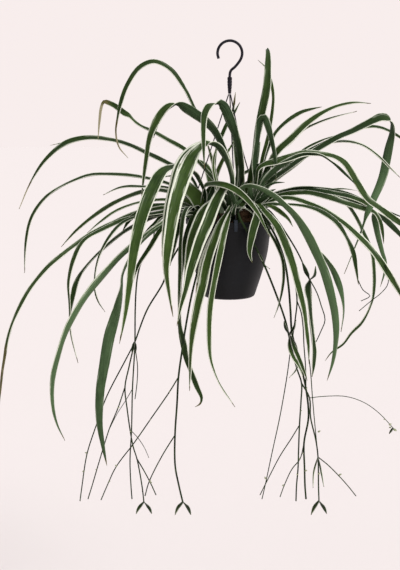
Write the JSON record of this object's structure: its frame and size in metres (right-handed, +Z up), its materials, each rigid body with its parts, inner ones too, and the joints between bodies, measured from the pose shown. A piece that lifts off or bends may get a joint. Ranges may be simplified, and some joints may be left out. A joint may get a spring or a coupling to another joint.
{
  "type": "hanging potted spider plant",
  "caption": "Variegated spider plant with arching strap leaves and hanging runners, in a charcoal pot carried by a hook, thin wires and rim clips.",
  "frame": {"origin": "inner top of the hook, where it bears on its support, straight above the axis of the pot", "axes": "+Z up, +X to the right of the front view, -Y towards the front view"},
  "size_m": [0.6338, 0.3888, 0.6986],
  "materials": {
    "pot_charcoal": "matt moulded charcoal plastic",
    "coir_soil": "loose brown coir and peat",
    "dark_wire": "dark coated steel wire",
    "clip_grey": "pale grey satin plastic",
    "leaf_green": "satin green leaf with cream margins",
    "runner_green": "satin green stem"
  },
  "bodies": {
    "root": {"pot": "pot_charcoal", "soil": "coir_soil", "hanger_hook": "dark_wire", "hanger_collar": "dark_wire", "rosette_left": "leaf_green", "rosette_front": "leaf_green", "rosette_middle": "leaf_green", "rosette_right": "leaf_green", "rosette_far_right": "leaf_green", "rosette_back_left": "leaf_green", "rosette_back_right": "leaf_green", "runner_left_outer": "runner_green", "runner_left_main": "runner_green", "runner_right_front": "runner_green", "hanger_wire_front": "dark_wire", "hanger_wire_right": "dark_wire", "hanger_wire_left": "dark_wire", "rim_clip_front": "clip_grey", "rim_clip_right": "clip_grey", "rim_clip_left": "clip_grey"}
  },
  "joints": []
}
